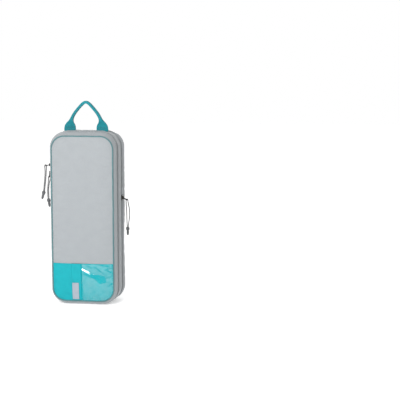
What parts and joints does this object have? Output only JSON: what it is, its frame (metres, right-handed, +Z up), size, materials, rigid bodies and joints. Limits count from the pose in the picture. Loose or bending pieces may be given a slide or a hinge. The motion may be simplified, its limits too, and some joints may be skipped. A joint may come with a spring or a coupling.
{
  "type": "packing cube",
  "caption": "Slim upright compression packing cube with a zipped front lid, a second zip that lets out the depth, a clear window and a webbing handle.",
  "frame": {"origin": "centre of the bottom face that the cube stands on, half way between the piping of the front and back panels", "axes": "+Z up along the cube's length, -Y out of the front lid, +X to the right seen from the front"},
  "size_m": [0.1856, 0.0892, 0.432],
  "materials": {
    "ripstop": "fine diamond-weave ripstop polyester, light grey",
    "teal_nylon": "smooth coated nylon, teal",
    "teal_webbing": "woven nylon webbing, teal",
    "teal_piping": "cord-filled piping covered in grey-teal cloth",
    "clear_film": "clear flexible vinyl film",
    "grey_rubber": "moulded soft rubber, satin grey",
    "zip_tape": "woven zip tape, grey",
    "zip_coil": "nylon monofilament coil, grey",
    "binding": "woven binding tape, grey",
    "lining": "thin plain-weave polyester, grey",
    "gunmetal": "die-cast zinc, black nickel plating",
    "pull_cord": "braided polyester cord, grey",
    "moulded_stop": "injection-moulded soft plastic, dark grey",
    "thread": "bonded polyester thread, teal"
  },
  "bodies": {
    "rear_shell": {"back_panel": "ripstop", "rear_piping": "teal_piping", "rear_gusset": "ripstop", "rear_seam_binding": "binding", "compression_zip_tape_rear": "zip_tape", "compression_zip_coil_rear": "zip_coil", "expansion_gusset": "lining", "compression_zip_garage": "ripstop"},
    "front_frame": {"compression_zip_tape_front": "zip_tape", "compression_zip_coil_front": "zip_coil", "middle_gusset": "ripstop", "main_zip_tape_rear": "zip_tape", "main_zip_coil_rear": "zip_coil", "bottom_gusset": "ripstop", "main_zip_end_tabs": "ripstop"},
    "lid": {"front_panel": "ripstop", "lower_front_panel": "teal_nylon", "clear_window": "clear_film", "window_strip": "teal_nylon", "label_tab": "grey_rubber", "front_piping": "teal_piping", "lid_gusset": "ripstop", "main_zip_tape_front": "zip_tape", "main_zip_coil_front": "zip_coil", "front_seam_binding": "binding"},
    "handle": {"handle_strap": "teal_webbing", "handle_bartacks": "thread"},
    "upper_slider": {"upper_slider": "gunmetal", "upper_slider_crown": "gunmetal"},
    "upper_bail": {"upper_pull_bail": "gunmetal"},
    "upper_pull": {"upper_pull_cord": "pull_cord", "upper_pull_end": "moulded_stop"},
    "lower_slider": {"lower_slider": "gunmetal", "lower_slider_crown": "gunmetal"},
    "lower_bail": {"lower_pull_bail": "gunmetal"},
    "lower_pull": {"lower_pull_cord": "pull_cord", "lower_pull_end": "moulded_stop"},
    "compression_slider": {"compression_slider": "gunmetal", "compression_slider_crown": "gunmetal"},
    "compression_bail": {"compression_pull_bail": "gunmetal"},
    "compression_pull": {"compression_pull_cord": "pull_cord", "compression_pull_end": "moulded_stop"}
  },
  "joints": [
    {"name": "expansion_slide", "type": "slide", "parent": "rear_shell", "child": "front_frame", "axis": [0, -1, 0], "range_m": [0, 0.035], "deforming": ["expansion_gusset"]},
    {"name": "lid_hinge", "type": "hinge", "parent": "front_frame", "child": "lid", "pos_m": [0, -0.0425, 0.009], "axis": [1, 0, 0], "range_deg": [0, 90]},
    {"name": "handle_hinge", "type": "hinge", "parent": "front_frame", "child": "handle", "pos_m": [0, -0.006, 0.3691], "axis": [1, 0, 0], "range_deg": [-70, 70]},
    {"name": "upper_slider_slide", "type": "slide", "parent": "front_frame", "child": "upper_slider", "axis": [0, 0, 1], "range_m": [0, 0.03]},
    {"name": "upper_bail_flip", "type": "hinge", "parent": "upper_slider", "child": "upper_bail", "pos_m": [-0.07415, -0.0215, 0.2965], "axis": [0, 1, 0], "range_deg": [-1.5, 60]},
    {"name": "upper_pull_swing", "type": "hinge", "parent": "upper_bail", "child": "upper_pull", "pos_m": [-0.08385, -0.0215, 0.29408], "axis": [1, 0, 0], "range_deg": [-25, 25]},
    {"name": "lower_slider_slide", "type": "slide", "parent": "front_frame", "child": "lower_slider", "axis": [0, 0, 1], "range_m": [-0.204, 0]},
    {"name": "lower_bail_flip", "type": "hinge", "parent": "lower_slider", "child": "lower_bail", "pos_m": [-0.07415, -0.0215, 0.28], "axis": [0, 1, 0], "range_deg": [-1.5, 2]},
    {"name": "lower_pull_swing", "type": "hinge", "parent": "lower_bail", "child": "lower_pull", "pos_m": [-0.07589, -0.0215, 0.27015], "axis": [1, 0, 0], "range_deg": [-25, 25]},
    {"name": "compression_slider_slide", "type": "slide", "parent": "rear_shell", "child": "compression_slider", "axis": [0, 0, 1], "range_m": [-0.14, 0]},
    {"name": "compression_bail_flip", "type": "hinge", "parent": "compression_slider", "child": "compression_bail", "pos_m": [0.07615, 0.01, 0.225], "axis": [0, -1, 0], "range_deg": [-3, 100]},
    {"name": "compression_pull_swing", "type": "hinge", "parent": "compression_bail", "child": "compression_pull", "pos_m": [0.08481, 0.01, 0.22], "axis": [1, 0, 0], "range_deg": [-25, 25]}
  ]
}
